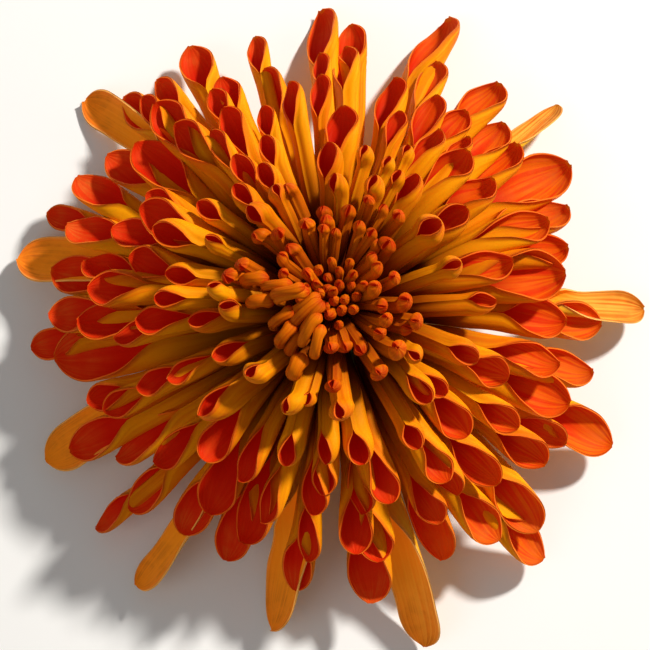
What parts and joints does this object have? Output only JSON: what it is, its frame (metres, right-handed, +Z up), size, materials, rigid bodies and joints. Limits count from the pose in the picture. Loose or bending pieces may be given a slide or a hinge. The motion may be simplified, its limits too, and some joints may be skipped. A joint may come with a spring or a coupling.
{
  "type": "chrysanthemum",
  "caption": "Bronze spoon chrysanthemum flower head, lying face up: quilled ray florets opening into spoons, over a domed receptacle, green bracts and a cut stub of stem",
  "frame": {"origin": "on the surface the flower lies on, under the middle of its outline", "axes": "+Z up out of the face of the flower, +X and +Y across the outline"},
  "size_m": [0.0848, 0.0882, 0.028],
  "materials": {
    "outer_petal": "soft satin petal, golden orange outside and coral red inside, paler and slightly dried at the ends",
    "petal": "soft satin petal, golden orange outside and coral red inside, with fine lengthwise veins",
    "heart_petal": "soft satin petal, closed orange tubes with redder tips",
    "green": "matt, finely veined green with thin dry papery margins",
    "stem": "matt, ribbed green with a paler cut end"
  },
  "bodies": {
    "root": {"stem": "stem", "receptacle": "green", "outer_bracts": "green", "inner_bracts": "green", "outermost_floret_01": "outer_petal", "outermost_floret_02": "outer_petal", "outermost_floret_03": "outer_petal", "outermost_floret_04": "outer_petal", "outermost_floret_05": "outer_petal", "outermost_floret_06": "outer_petal", "outermost_floret_07": "outer_petal", "outermost_floret_08": "outer_petal", "outermost_floret_09": "outer_petal", "outermost_floret_10": "outer_petal", "outermost_floret_11": "outer_petal", "outermost_floret_12": "outer_petal", "outermost_floret_13": "outer_petal", "outermost_floret_14": "outer_petal", "outermost_floret_15": "outer_petal", "outermost_floret_16": "outer_petal", "lower_floret_01": "outer_petal", "lower_floret_02": "outer_petal", "lower_floret_03": "outer_petal", "lower_floret_04": "outer_petal", "lower_floret_05": "outer_petal", "lower_floret_06": "outer_petal", "lower_floret_07": "outer_petal", "lower_floret_08": "outer_petal", "lower_floret_09": "outer_petal", "lower_floret_10": "outer_petal", "lower_floret_11": "outer_petal", "lower_floret_12": "outer_petal", "lower_floret_13": "outer_petal", "lower_floret_14": "outer_petal", "lower_floret_15": "outer_petal", "lower_floret_16": "outer_petal", "lower_floret_17": "outer_petal", "lower_floret_18": "outer_petal", "upper_floret_01": "outer_petal", "upper_floret_02": "outer_petal", "upper_floret_03": "outer_petal", "upper_floret_04": "outer_petal", "upper_floret_05": "outer_petal", "upper_floret_06": "outer_petal", "upper_floret_07": "outer_petal", "upper_floret_08": "outer_petal", "upper_floret_09": "outer_petal", "upper_floret_10": "outer_petal", "upper_floret_11": "outer_petal", "upper_floret_12": "outer_petal", "floret_whorl_04": "petal", "floret_whorl_05": "petal", "floret_whorl_06": "petal", "floret_whorl_07": "petal", "floret_whorl_08": "petal", "floret_whorl_09": "petal", "floret_whorl_10": "petal", "floret_whorl_11": "petal", "floret_whorl_12": "petal", "heart": "heart_petal"}
  },
  "joints": []
}
